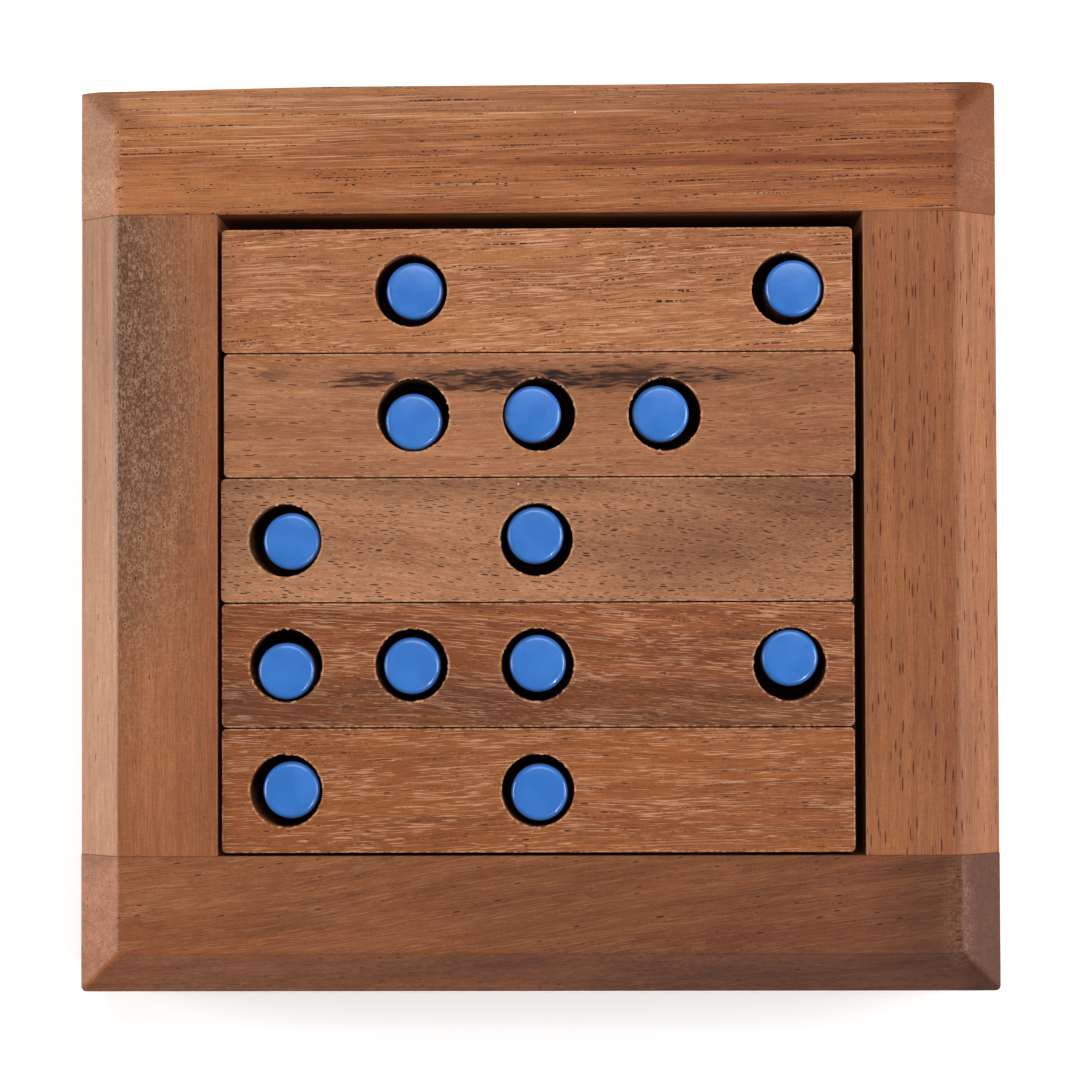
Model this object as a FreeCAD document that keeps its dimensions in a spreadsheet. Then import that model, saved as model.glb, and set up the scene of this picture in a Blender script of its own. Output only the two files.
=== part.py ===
import FreeCAD, Part
import Sketcher
import os

# Bar-and-pin tray puzzle: a square hardwood tray with fixed pins, and loose bars that slip over them.
# Millimetres. The origin is the middle of the underside, +X points right, +Y to the back and +Z up.
# Every piece is drawn in a local frame with its front left bottom corner at zero, then placed in the tray.

TRAY_SIZES = [
    ("tray_width", 130.4, "tray, outside, left to right"),
    ("tray_depth", 128.8, "tray, outside, front to back"),
    ("board_thick", 6.0, "base board"),
    ("rail_high", 18.0, "rails, above the base board"),
    ("back_rail_wide", 18.9, "back rail"),
    ("front_rail_wide", 19.5, "front rail"),
    ("left_rail_wide", 20.1, "left rail"),
    ("right_rail_wide", 19.3, "right rail"),
    ("bevel_back", 4.9, "45 degree bevels along the top of the tray, cut by hand and a little uneven"),
    ("bevel_front", 5.8, "the same, along the front"),
    ("bevel_left", 6.1, "the same, along the left"),
    ("bevel_right", 5.9, "the same, along the right"),
    ("corner_round", 1.0, "upright corners of the tray"),
]
BAR_SIZES = [
    ("bar_long", 88.9, "bars"),
    ("bar_wide", 17.4, "bars"),
    ("bar_thick", 17.5, "bars, lying on the base board"),
    ("bar_gap", 0.2, "between neighbouring bars"),
    ("front_gap", 0.45, "between the front bar and the front rail"),
    ("bar_round", 0.7, "upright corners of the bars"),
    ("hole_pitch", 17.7, "holes along a bar"),
    ("hole_radius", 5.1, "holes through the bars"),
]
PIN_SIZES = [
    ("pin_radius", 4.0, "dowel pins"),
    ("pin_below_rim", 0.6, "pin tops, below the top of the rails"),
    ("pin_round", 0.7, "rounded rim of a pin's top"),
    ("socket_depth", 4.5, "blind holes in the base board that the pins are glued into"),
    ("socket_radius", 4.05, "the same holes, with room for the glue"),
]

# Rows run from the back bar, 1, to the front bar, 5, and columns from the left, 1, to the right, 5.
ROWS = 5
HOLE_COLUMNS = {1: (2, 5), 2: (2, 3, 4), 3: (1, 3), 4: (1, 2, 3, 5), 5: (1, 3)}
# Each bar lies loose, this far from the left rail.
LEFT_GAPS = {1: 0.6, 2: 0.9, 3: 0.5, 4: 0.6, 5: 0.6}
# Each pin stands a little off the middle of its hole, by this much to the right and to the back.
PIN_SHIFTS = {
    (1, 2): (0.5, 0.0),
    (1, 5): (0.8, 0.1),
    (2, 2): (0.0, -0.9),
    (2, 3): (-0.9, 0.1),
    (2, 4): (-0.6, 0.1),
    (3, 1): (0.9, -0.1),
    (3, 3): (-0.2, 0.6),
    (4, 1): (0.0, -0.8),
    (4, 2): (0.0, -0.1),
    (4, 3): (0.0, 0.2),
    (4, 5): (0.0, 0.9),
    (5, 1): (0.7, 0.1),
    (5, 3): (0.2, -0.3),
}
TINY = 0.001

document = FreeCAD.newDocument("BarAndPinPuzzle")
sheet = document.addObject("Spreadsheet::Sheet", "Sizes")


def fill_sheet():
    """One line of the sheet for each driving dimension: its name, value in millimetres and meaning."""
    lines = TRAY_SIZES + BAR_SIZES + PIN_SIZES
    lines += [(f"left_gap_{row}", gap, f"bar {row}, from the left rail") for row, gap in LEFT_GAPS.items()]
    for (row, column), (right, back) in PIN_SHIFTS.items():
        where = f"pin in row {row}, column {column}, off the middle of its hole"
        lines.append((f"shift_right_{row}_{column}", right, where))
        lines.append((f"shift_back_{row}_{column}", back, where))
    for line, (alias, value, meaning) in enumerate(lines, 1):
        sheet.set(f"A{line}", alias)
        sheet.set(f"B{line}", str(value))
        sheet.set(f"C{line}", meaning)
        sheet.setAlias(f"B{line}", alias)
    document.recompute()


# Expressions for places that several pieces share, measured from the tray's front left corner.


def row_front(row):
    """The front face of a row's bar."""
    bars_in_front = ROWS - row
    return (
        "Sizes.front_rail_wide + Sizes.front_gap"
        f" + {bars_in_front} * (Sizes.bar_wide + Sizes.bar_gap)"
    )


def bar_left(row):
    """The left end of a row's bar."""
    return f"Sizes.left_rail_wide + Sizes.left_gap_{row}"


def hole_along_bar(column):
    """A hole's middle, from its bar's left end: the five columns are centred on the bar."""
    steps_from_middle = column - 3
    return f"Sizes.bar_long / 2 + {steps_from_middle} * Sizes.hole_pitch"


def pin_place(row, column):
    """A pin's axis: rightwards, and to the back."""
    right = f"{bar_left(row)} + {hole_along_bar(column)} + Sizes.shift_right_{row}_{column}"
    back = f"{row_front(row)} + Sizes.bar_wide / 2 + Sizes.shift_back_{row}_{column}"
    return right, back


# Drawing and shaping.


def new_body(label, right, back, up):
    """An empty body whose local corner, or axis, stands at these distances from the tray's lower corner."""
    body = document.addObject("PartDesign::Body", label)
    body.Label = label
    body.setExpression("Placement.Base.x", f"{right} - Sizes.tray_width / 2")
    body.setExpression("Placement.Base.y", f"{back} - Sizes.tray_depth / 2")
    body.setExpression("Placement.Base.z", up)
    return body


def new_sketch(body, purpose, role="XY_Plane"):
    """A sketch on one of the body's own planes, the ground unless another is named."""
    sketch = body.newObject("Sketcher::SketchObject", f"{body.Name}_{purpose}")
    plane = next(plane for plane in body.Origin.OriginFeatures if plane.Role == role)
    sketch.AttachmentSupport = (plane, [""])
    sketch.MapMode = "FlatFace"
    return sketch


def hold(sketch, name, expression, kind, *where):
    """Adds a dimension to the sketch and ties it to the sheet."""
    start_value = 10.0
    number = sketch.addConstraint(Sketcher.Constraint(kind, *where, start_value))
    sketch.renameConstraint(number, name)
    sketch.setExpression(f"Constraints.{name}", expression)


def draw_rectangle(sketch, width, depth):
    """A rectangle with its front left corner on the origin."""
    corners = [FreeCAD.Vector(x, y, 0) for x, y in ((0, 0), (10, 0), (10, 10), (0, 10))]
    front, right, back, left = (
        sketch.addGeometry(Part.LineSegment(corners[n], corners[(n + 1) % 4])) for n in range(4)
    )
    for side, following in ((front, right), (right, back), (back, left), (left, front)):
        sketch.addConstraint(Sketcher.Constraint("Coincident", side, 2, following, 1))
    for side in (front, back):
        sketch.addConstraint(Sketcher.Constraint("Horizontal", side))
    for side in (left, right):
        sketch.addConstraint(Sketcher.Constraint("Vertical", side))
    sketch.addConstraint(Sketcher.Constraint("Coincident", front, 1, -1, 1))
    hold(sketch, "width", width, "DistanceX", front, 1, front, 2)
    hold(sketch, "depth", depth, "DistanceY", right, 1, right, 2)


def draw_circle(sketch, name, right, back, radius):
    """A circle at this distance from the origin."""
    start = Part.Circle(FreeCAD.Vector(10, 10, 0), FreeCAD.Vector(0, 0, 1), 4)
    circle = sketch.addGeometry(start)
    hold(sketch, f"right_{name}", right, "DistanceX", -1, 1, circle, 3)
    hold(sketch, f"back_{name}", back, "DistanceY", -1, 1, circle, 3)
    hold(sketch, f"radius_{name}", radius, "Radius", circle)


def draw_wedge(sketch, outer, top, size, inward):
    """A right-angled triangle in a block's top outer corner. inward is 1 if the block lies to its right."""
    corner = FreeCAD.Vector(10, 10, 0)
    inner = FreeCAD.Vector(10 + 5 * inward, 10, 0)
    lower = FreeCAD.Vector(10, 5, 0)
    along_top = sketch.addGeometry(Part.LineSegment(corner, inner))
    slope = sketch.addGeometry(Part.LineSegment(inner, lower))
    down_side = sketch.addGeometry(Part.LineSegment(lower, corner))
    for line, following in ((along_top, slope), (slope, down_side), (down_side, along_top)):
        sketch.addConstraint(Sketcher.Constraint("Coincident", line, 2, following, 1))
    sketch.addConstraint(Sketcher.Constraint("Horizontal", along_top))
    sketch.addConstraint(Sketcher.Constraint("Vertical", down_side))
    ends = (along_top, 1, along_top, 2) if inward > 0 else (along_top, 2, along_top, 1)
    hold(sketch, "across", size, "DistanceX", *ends)
    hold(sketch, "down", size, "DistanceY", down_side, 1, down_side, 2)
    hold(sketch, "top", top, "DistanceY", -1, 1, along_top, 1)
    if outer == "0":
        sketch.addConstraint(Sketcher.Constraint("PointOnObject", along_top, 1, -2))
    else:
        hold(sketch, "outer", outer, "DistanceX", -1, 1, along_top, 1)


def pad(body, sketch, length):
    """Raises the sketch into a solid."""
    feature = body.newObject("PartDesign::Pad", f"{body.Name}_pad")
    feature.Profile = sketch
    feature.setExpression("Length", length)
    sketch.Visibility = False
    document.recompute()


def block(label, width, depth, thick, right, back, up):
    """A body that starts as a plain rectangular block."""
    body = new_body(label, right, back, up)
    outline = new_sketch(body, "outline")
    draw_rectangle(outline, width, depth)
    pad(body, outline, thick)
    return body


def cut_through(body, sketch, purpose):
    """Cuts the sketch right through the body, both ways, and checks that it took something away."""
    before = body.Tip.Shape.Volume
    feature = body.newObject("PartDesign::Pocket", f"{body.Name}_{purpose}")
    feature.Profile = sketch
    feature.Type = "ThroughAll"
    feature.Midplane = True
    sketch.Visibility = False
    document.recompute()
    must_be_smaller(body, before)


def must_be_smaller(body, before):
    """Stops the build if a cut took nothing away."""
    if body.Tip.Shape.Volume > before - TINY:
        raise RuntimeError(f"{body.Label}: the last cut removed nothing")


def lies_on(edge, whole, side):
    """True if the edge lies in that outer side of the whole shape."""
    near, far = edge.BoundBox, whole.BoundBox
    distance = {
        "left": near.XMax - far.XMin,
        "right": far.XMax - near.XMin,
        "front": near.YMax - far.YMin,
        "back": far.YMax - near.YMin,
        "top": far.ZMax - near.ZMin,
    }
    return distance[side] < TINY


def edges_between(shape, first_sides, second_sides):
    """The names of the edges where one of the first sides meets one of the second sides."""
    return [
        f"Edge{number}"
        for number, edge in enumerate(shape.Edges, 1)
        if any(lies_on(edge, shape, side) for side in first_sides)
        and any(lies_on(edge, shape, side) for side in second_sides)
    ]


def dress(body, kind, purpose, edges, property_name, size):
    """A chamfer or a fillet on the body's present tip."""
    shaped_so_far = body.Tip
    feature = body.newObject(kind, f"{body.Name}_{purpose}")
    feature.Base = (shaped_so_far, edges)
    feature.setExpression(property_name, size)
    document.recompute()


def round_uprights(body, left_right, front_back, radius):
    """Rounds the upright corners where these sides meet."""
    edges = edges_between(body.Tip.Shape, left_right, front_back)
    dress(body, "PartDesign::Fillet", "uprights", edges, "Radius", radius)


# The pieces.


def base_board():
    """The board under everything, with a blind hole for each pin."""
    body = block("base_board", "Sizes.tray_width", "Sizes.tray_depth", "Sizes.board_thick", "0", "0", "0")
    round_uprights(body, ("left", "right"), ("front", "back"), "Sizes.corner_round")
    before = body.Tip.Shape.Volume
    drilling = new_sketch(body, "drilling")
    drilling.setExpression("AttachmentOffset.Base.z", "Sizes.board_thick")
    for row, column in PIN_SHIFTS:
        right, back = pin_place(row, column)
        draw_circle(drilling, f"{row}_{column}", right, back, "Sizes.socket_radius")
    document.recompute()
    sockets = body.newObject("PartDesign::Hole", "base_board_sockets")
    sockets.Profile = drilling
    sockets.Threaded = False
    sockets.DepthType = "Dimension"
    sockets.DrillPoint = "Flat"
    sockets.setExpression("Diameter", "2 * Sizes.socket_radius")
    sockets.setExpression("Depth", "Sizes.socket_depth")
    drilling.Visibility = False
    document.recompute()
    must_be_smaller(body, before)
    return body


def rail(label, width, depth, right, back, bevelled):
    """A rail glued on the base board, with a bevel along each of the named sides."""
    body = block(label, width, depth, "Sizes.rail_high", right, back, "Sizes.board_thick")
    long_side = [side for side in bevelled if side in ("back", "front")]
    if long_side:
        outer_corners = edges_between(body.Tip.Shape, ("left", "right"), long_side)
        dress(body, "PartDesign::Fillet", "uprights", outer_corners, "Radius", "Sizes.corner_round")
    wedges = {
        "left": ("XZ_Plane", "0", 1),
        "right": ("XZ_Plane", width, -1),
        "front": ("YZ_Plane", "0", 1),
        "back": ("YZ_Plane", depth, -1),
    }
    for side in bevelled:
        role, outer, inward = wedges[side]
        wedge = new_sketch(body, f"wedge_{side}", role)
        draw_wedge(wedge, outer, "Sizes.rail_high", f"Sizes.bevel_{side}", inward)
        cut_through(body, wedge, f"bevel_{side}")
    return body


def rails():
    """The back and front rails run the full width, and the side rails fit between them."""
    long = "Sizes.tray_width"
    short = "Sizes.tray_depth - Sizes.back_rail_wide - Sizes.front_rail_wide"
    back_place = "Sizes.tray_depth - Sizes.back_rail_wide"
    right_place = "Sizes.tray_width - Sizes.right_rail_wide"
    side_place = "Sizes.front_rail_wide"
    return [
        rail("back_rail", long, "Sizes.back_rail_wide", "0", back_place, ("back", "left", "right")),
        rail("front_rail", long, "Sizes.front_rail_wide", "0", "0", ("front", "left", "right")),
        rail("left_rail", "Sizes.left_rail_wide", short, "0", side_place, ("left",)),
        rail("right_rail", "Sizes.right_rail_wide", short, right_place, side_place, ("right",)),
    ]


def bar(row):
    """A loose bar, drilled right through in some of the five columns."""
    body = block(
        f"bar_{row}",
        "Sizes.bar_long",
        "Sizes.bar_wide",
        "Sizes.bar_thick",
        bar_left(row),
        row_front(row),
        "Sizes.board_thick",
    )
    round_uprights(body, ("left", "right"), ("front", "back"), "Sizes.bar_round")
    drilling = new_sketch(body, "drilling")
    for column in HOLE_COLUMNS[row]:
        along = hole_along_bar(column)
        draw_circle(drilling, f"{column}", along, "Sizes.bar_wide / 2", "Sizes.hole_radius")
    cut_through(body, drilling, "holes")
    return body


def pin(row, column):
    """A dowel glued into its hole in the base board, with its top rim rounded."""
    right, back = pin_place(row, column)
    body = new_body(f"pin_row{row}_col{column}", right, back, "Sizes.board_thick - Sizes.socket_depth")
    outline = new_sketch(body, "outline")
    circle = outline.addGeometry(Part.Circle(FreeCAD.Vector(0, 0, 0), FreeCAD.Vector(0, 0, 1), 4))
    outline.addConstraint(Sketcher.Constraint("Coincident", circle, 3, -1, 1))
    hold(outline, "radius", "Sizes.pin_radius", "Radius", circle)
    pad(body, outline, "Sizes.rail_high - Sizes.pin_below_rim + Sizes.socket_depth")
    edges = edges_between(body.Tip.Shape, ("top",), ("top",))
    dress(body, "PartDesign::Fillet", "top_rim", edges, "Radius", "Sizes.pin_round")
    return body


def check_document(bodies):
    """Stops the build if any object failed or any piece is not one sound solid."""
    for item in document.Objects:
        if "Invalid" in item.State or "Error" in item.State:
            raise RuntimeError(f"{item.Label} failed: {item.State}")
    for body in bodies:
        shape = body.Shape
        if shape.isNull() or not shape.isValid() or len(shape.Solids) != 1:
            raise RuntimeError(f"{body.Label} is not one valid solid")


def main():
    fill_sheet()
    bodies = [base_board(), *rails()]
    bodies += [bar(row) for row in HOLE_COLUMNS]
    bodies += [pin(row, column) for row, column in PIN_SHIFTS]
    document.recompute()
    check_document(bodies)
    os.makedirs("parts", exist_ok=True)
    for body in bodies:
        body.Shape.exportStep(os.path.join("parts", f"{body.Label}.step"))


main()
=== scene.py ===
import math
import random

import bpy
from mathutils import Euler, Matrix, Vector
from mathutils.geometry import intersect_plane_plane


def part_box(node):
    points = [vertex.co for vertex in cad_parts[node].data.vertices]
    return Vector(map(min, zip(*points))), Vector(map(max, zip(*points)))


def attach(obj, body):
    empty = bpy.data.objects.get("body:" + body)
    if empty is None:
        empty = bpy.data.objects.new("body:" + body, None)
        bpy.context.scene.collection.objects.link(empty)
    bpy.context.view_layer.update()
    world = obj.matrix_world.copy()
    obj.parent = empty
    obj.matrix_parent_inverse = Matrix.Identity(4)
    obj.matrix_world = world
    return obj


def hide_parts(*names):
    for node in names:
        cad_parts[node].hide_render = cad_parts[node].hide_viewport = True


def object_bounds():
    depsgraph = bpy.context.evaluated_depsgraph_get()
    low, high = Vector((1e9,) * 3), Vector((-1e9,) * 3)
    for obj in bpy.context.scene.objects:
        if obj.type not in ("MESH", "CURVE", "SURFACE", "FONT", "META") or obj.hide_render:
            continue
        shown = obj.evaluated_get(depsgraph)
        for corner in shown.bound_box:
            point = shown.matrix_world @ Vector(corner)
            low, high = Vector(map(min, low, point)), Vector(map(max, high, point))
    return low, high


MM = 0.001

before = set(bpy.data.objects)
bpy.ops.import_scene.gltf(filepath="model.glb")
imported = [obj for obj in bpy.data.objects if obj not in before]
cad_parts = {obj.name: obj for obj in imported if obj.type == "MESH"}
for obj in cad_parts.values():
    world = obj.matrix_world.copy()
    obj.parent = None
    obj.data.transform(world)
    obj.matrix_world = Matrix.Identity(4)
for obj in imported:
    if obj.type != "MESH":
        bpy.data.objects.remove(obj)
cad_low, cad_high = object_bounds()

# ---- Making things in node trees ----


def fill(tree, node, inputs):
    """Fills a node's inputs with values or with other nodes' outputs."""
    for key, value in inputs.items():
        if isinstance(value, bpy.types.NodeSocket):
            tree.links.new(value, node.inputs[key])
        else:
            node.inputs[key].default_value = value


def put(tree, kind, inputs, **settings):
    """Adds a node, sets its choices, and fills its inputs."""
    made = tree.nodes.new(kind)
    for name, value in settings.items():
        setattr(made, name, value)
    fill(tree, made, inputs)
    return made


def calc(tree, operation, first, second=0.0, third=0.0, clamp=False):
    """One sum, or another step of arithmetic."""
    inputs = {0: first, 1: second, 2: third}
    return put(tree, "ShaderNodeMath", inputs, operation=operation, use_clamp=clamp).outputs[0]


def vector_calc(tree, operation, first, second=(0.0, 0.0, 0.0)):
    """One sum with vectors."""
    return put(tree, "ShaderNodeVectorMath", {0: first, 1: second}, operation=operation).outputs[0]


def length_of(tree, vector):
    """How long a vector is."""
    return put(tree, "ShaderNodeVectorMath", {0: vector}, operation="LENGTH").outputs["Value"]


def split(tree, vector):
    """A vector's X, Y and Z."""
    return put(tree, "ShaderNodeSeparateXYZ", {0: vector}).outputs


def assemble(tree, x, y, z):
    """A vector from its X, Y and Z."""
    return put(tree, "ShaderNodeCombineXYZ", {0: x, 1: y, 2: z}).outputs[0]


def ramp(tree, value, start, end, low=0.0, high=1.0, smooth=True):
    """Turns start..end into low..high, and holds it there."""
    inputs = {"Value": value, "From Min": start, "From Max": end, "To Min": low, "To Max": high}
    kind = "SMOOTHSTEP" if smooth else "LINEAR"
    return put(tree, "ShaderNodeMapRange", inputs, interpolation_type=kind, clamp=True).outputs[0]


def blend(tree, amount, first, second, kind="MIX"):
    """Goes from the first colour to the second."""
    factor, from_colour, to_colour, result = 0, 6, 7, 2
    inputs = {factor: amount, from_colour: first, to_colour: second}
    return put(tree, "ShaderNodeMix", inputs, data_type="RGBA", blend_type=kind).outputs[result]


def cloudy(tree, place, scale=1.0, detail=2.0, rough=0.5):
    """Plain noise, as lumpy in one direction as in another."""
    inputs = {"Vector": place, "Scale": scale, "Detail": detail, "Roughness": rough}
    return put(tree, "ShaderNodeTexNoise", inputs).outputs


def scattered(tree, place):
    """How far the nearest of many scattered points is, and a colour by chance for it."""
    inputs = {"Vector": place, "Scale": 1.0, "Randomness": 1.0}
    return put(tree, "ShaderNodeTexVoronoi", inputs).outputs


def grey(tree, value):
    """A grey of this value."""
    return put(tree, "ShaderNodeCombineColor", {0: value, 1: value, 2: value}).outputs[0]


def along_grain(tree, place, length, width, detail=0.0, shift=0.0, rough=0.5):
    """Noise in long thin shapes: this long along X and this wide across it, in millimetres."""
    shrink = (1 / length, 1 / width, 1 / width)
    spot = vector_calc(tree, "MULTIPLY", place, shrink)
    if shift:
        spot = vector_calc(tree, "ADD", spot, (shift, shift * 0.7, shift * 1.3))
    return cloudy(tree, spot, 1.0, detail, rough)["Fac"]


def colour(red, green, blue):
    """A colour as the eye names it, 0 to 255, for the shaders."""
    def straight(part):
        part /= 255
        return part / 12.92 if part <= 0.04045 else ((part + 0.055) / 1.055) ** 2.4

    return (straight(red), straight(green), straight(blue), 1.0)


def new_group(name, vectors=(), colours=(), values=(), gives=(), gives_colour=()):
    """An empty group with its sockets, and the sockets inside it at its two ends."""
    group = bpy.data.node_groups.new(name, "ShaderNodeTree")
    for sockets, way, kind in (
        (vectors, "INPUT", "NodeSocketVector"),
        (colours, "INPUT", "NodeSocketColor"),
        (values, "INPUT", "NodeSocketFloat"),
        (gives_colour, "OUTPUT", "NodeSocketColor"),
        (gives, "OUTPUT", "NodeSocketFloat"),
    ):
        for socket in sockets:
            group.interface.new_socket(socket, in_out=way, socket_type=kind)
    start = group.nodes.new("NodeGroupInput")
    end = group.nodes.new("NodeGroupOutput")
    return group, start.outputs, end.inputs


def place_group(tree, group, inputs):
    """Puts a shared group into another tree, fills its inputs, and gives its outputs."""
    return put(tree, "ShaderNodeGroup", inputs, node_tree=group).outputs


PORE = colour(46, 22, 12)
RED_PORE = colour(84, 40, 22)
# Pale flecks in the grain; the same colour paints the highlight along the bars' edges and hole rims.
FLECK_AND_HIGHLIGHT = colour(224, 168, 128)

# ---- Finishes that several pieces share ----
# Places come in millimetres, with the grain along X.


def make_pore_group():
    """Cut-open vessels: dark hollows in pale sheaths, dashes in long cells and dots in round ones."""
    tree, given, out = new_group(
        "cut_open_pores",
        vectors=("Place", "Cell"),
        values=("Share", "Girth"),
        gives=("Hollow", "Sheath"),
    )
    cells = scattered(tree, vector_calc(tree, "DIVIDE", given["Place"], given["Cell"]))
    chance = put(tree, "ShaderNodeSeparateColor", {0: cells["Color"]}).outputs
    there = calc(tree, "LESS_THAN", chance[0], given["Share"])
    size = ramp(tree, chance[1], 0.0, 1.0, 0.55, 1.3, smooth=False)
    width = calc(tree, "MULTIPLY", size, given["Girth"])
    # A hollow is as wide as its vessel, and its sheath reaches about twice as far.
    share = calc(tree, "DIVIDE", cells["Distance"], width)
    hollow = calc(tree, "MULTIPLY", ramp(tree, share, 1.1, 0.75), there)
    sheath = calc(tree, "MULTIPLY", ramp(tree, share, 2.4, 1.3), there)
    tree.links.new(hollow, out["Hollow"])
    tree.links.new(calc(tree, "SUBTRACT", sheath, hollow, clamp=True), out["Sheath"])
    return tree


def make_hardwood_group():
    """Open-pored brown hardwood, as if cut from the solid: pores are dashes, or dots on end grain."""
    tree, given, out = new_group(
        "open_pored_hardwood",
        vectors=("Place", "Log", "Pore Cell"),
        colours=("Pale", "Deep", "Red", "Pore Colour"),
        values=("Slope", "Waver", "Bands", "Streaks", "Reds", "Lines", "Rows", "Flecks")
        + ("Pores", "Pore Girth", "Sheaths"),
        gives=("Height", "Roughness"),
        gives_colour=("Color",),
    )
    # The grain runs a little uphill and wavers.
    apart = split(tree, given["Place"])
    leaning = calc(tree, "SUBTRACT", apart[1], calc(tree, "MULTIPLY", apart[0], given["Slope"]))
    straight = assemble(tree, apart[0], leaning, apart[2])
    own = vector_calc(tree, "ADD", straight, given["Log"])
    spot = vector_calc(tree, "MULTIPLY", own, (0.018, 0.045, 0.045))
    drift = cloudy(tree, spot)["Color"]
    sway = assemble(tree, 0.0, given["Waver"], given["Waver"])
    swing = vector_calc(tree, "SUBTRACT", drift, (0.5, 0.5, 0.5))
    place = vector_calc(tree, "ADD", own, vector_calc(tree, "MULTIPLY", swing, sway))

    # The ground: broad and fine bands, reddish bands, clouds, fibres, and faint marks from the plane.
    wide = ramp(tree, along_grain(tree, place, 130, 5.0, 2), 0.32, 0.68)
    fine = ramp(tree, along_grain(tree, place, 45, 0.9, 3, 11.0, 0.6), 0.32, 0.68)
    cloud = ramp(tree, along_grain(tree, place, 20, 9, 3, 37.0), 0.34, 0.66)
    fibre = along_grain(tree, place, 3.5, 0.16, 2, 23.0, 0.65)
    chatter = along_grain(tree, place, 0.4, 2.5, 1, 29.0)
    red = ramp(tree, along_grain(tree, place, 170, 2.2, 3, 17.0, 0.65), 0.48, 0.64)
    grit = along_grain(tree, place, 0.3, 0.2, 1, 7.0)
    tone = calc(tree, "MULTIPLY_ADD", calc(tree, "SUBTRACT", wide, 0.5), given["Bands"], 0.5)
    tone = calc(tree, "MULTIPLY_ADD", calc(tree, "SUBTRACT", fine, 0.5), given["Streaks"], tone)
    tone = calc(tree, "MULTIPLY_ADD", calc(tree, "SUBTRACT", cloud, 0.5), 0.35, tone, clamp=True)
    body = blend(tree, tone, given["Deep"], given["Pale"])
    body = blend(tree, calc(tree, "MULTIPLY", red, given["Reds"]), body, given["Red"])
    shade = ramp(tree, fibre, 0.3, 0.7, 0.78, 1.2, False)
    shade = calc(tree, "MULTIPLY", shade, ramp(tree, chatter, 0.2, 0.8, 0.97, 1.03))
    shade = calc(tree, "MULTIPLY", shade, ramp(tree, grit, 0.25, 0.75, 0.84, 1.16, False))
    body = blend(tree, 1.0, body, grey(tree, shade), "MULTIPLY")

    # Thin lines that follow the grain: strings of pores, and pale lines that lie in bundles.
    strung = ramp(tree, along_grain(tree, place, 24, 0.2, 1, 61.0), 0.65, 0.68)
    beads = ramp(tree, along_grain(tree, place, 0.45, 0.5, 0, 71.0), 0.44, 0.5)
    rows = calc(tree, "MULTIPLY", strung, beads)
    clump = ramp(tree, along_grain(tree, place, 15, 0.85, 1, 67.0), 0.59, 0.64)
    small = {"Cell": (0.9, 0.34, 0.34), "Share": clump, "Girth": 0.25}
    small = place_group(tree, PORE_RINGS, {"Place": place, **small})
    rows = calc(tree, "MAXIMUM", rows, small["Hollow"])
    rows = calc(tree, "MULTIPLY", rows, given["Rows"], clamp=True)
    lines = ramp(tree, along_grain(tree, place, 26, 0.2, 2, 83.0, 0.6), 0.57, 0.64)
    bundle = ramp(tree, along_grain(tree, place, 90, 3.2, 1, 53.0), 0.42, 0.56, 0.12, 1.0)
    lines = calc(tree, "MULTIPLY", lines, bundle)
    lines = calc(tree, "MULTIPLY", lines, given["Lines"], clamp=True)

    # Short pale flecks in clusters, and single pores.
    cluster = ramp(tree, along_grain(tree, place, 14, 2.0, 2, 97.0), 0.38, 0.66)
    fleck = along_grain(tree, place, 4.0, 0.14, 1, 91.0, 0.6)
    fleck = calc(tree, "MULTIPLY_ADD", cluster, 0.12, fleck)
    flecks = calc(tree, "MULTIPLY", ramp(tree, fleck, 0.65, 0.69), given["Flecks"], clamp=True)
    vessels = {"Cell": given["Pore Cell"], "Share": given["Pores"], "Girth": given["Pore Girth"]}
    pores = place_group(tree, PORE_RINGS, {"Place": place, **vessels})
    sheaths = calc(tree, "MULTIPLY", pores["Sheath"], given["Sheaths"])
    pale_parts = calc(tree, "MAXIMUM", calc(tree, "MAXIMUM", lines, flecks), sheaths)
    body = blend(tree, calc(tree, "MULTIPLY", pale_parts, 0.6), body, FLECK_AND_HIGHLIGHT)
    body = blend(tree, pores["Hollow"], body, given["Pore Colour"])
    body = blend(tree, rows, body, PORE)
    hollows = calc(tree, "MAXIMUM", rows, pores["Hollow"])
    tree.links.new(body, out["Color"])

    ground = calc(tree, "MULTIPLY", calc(tree, "SUBTRACT", fibre, 0.5), 0.3)
    ground = calc(tree, "MULTIPLY_ADD", pale_parts, 0.12, ground)
    tree.links.new(calc(tree, "SUBTRACT", ground, hollows), out["Height"])
    shine = ramp(tree, fine, 0.0, 1.0, 0.56, 0.46, smooth=False)
    tree.links.new(calc(tree, "MULTIPLY_ADD", hollows, 0.3, shine), out["Roughness"])
    return tree


def make_patch_group():
    """A soft, ragged-edged spot of another colour in the wood, such as dark heart."""
    tree, given, out = new_group(
        "patch_in_wood",
        vectors=("Place", "Middle", "Reach", "Tear"),
        values=("Ragged", "Soft", "Amount"),
        gives=("Mask",),
    )
    away = vector_calc(tree, "SUBTRACT", given["Place"], given["Middle"])
    far = length_of(tree, vector_calc(tree, "DIVIDE", away, given["Reach"]))
    spot = vector_calc(tree, "DIVIDE", given["Place"], given["Tear"])
    tear = calc(tree, "SUBTRACT", cloudy(tree, spot, 1.0, 3.0, 0.6)["Fac"], 0.5)
    far = calc(tree, "ADD", far, calc(tree, "MULTIPLY", tear, given["Ragged"]))
    half = calc(tree, "MULTIPLY", given["Soft"], 0.5)
    start = calc(tree, "ADD", 1.0, half)
    end = calc(tree, "SUBTRACT", 1.0, half)
    mask = ramp(tree, far, start, end)
    tree.links.new(calc(tree, "MULTIPLY", mask, given["Amount"]), out["Mask"])
    return tree


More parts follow.
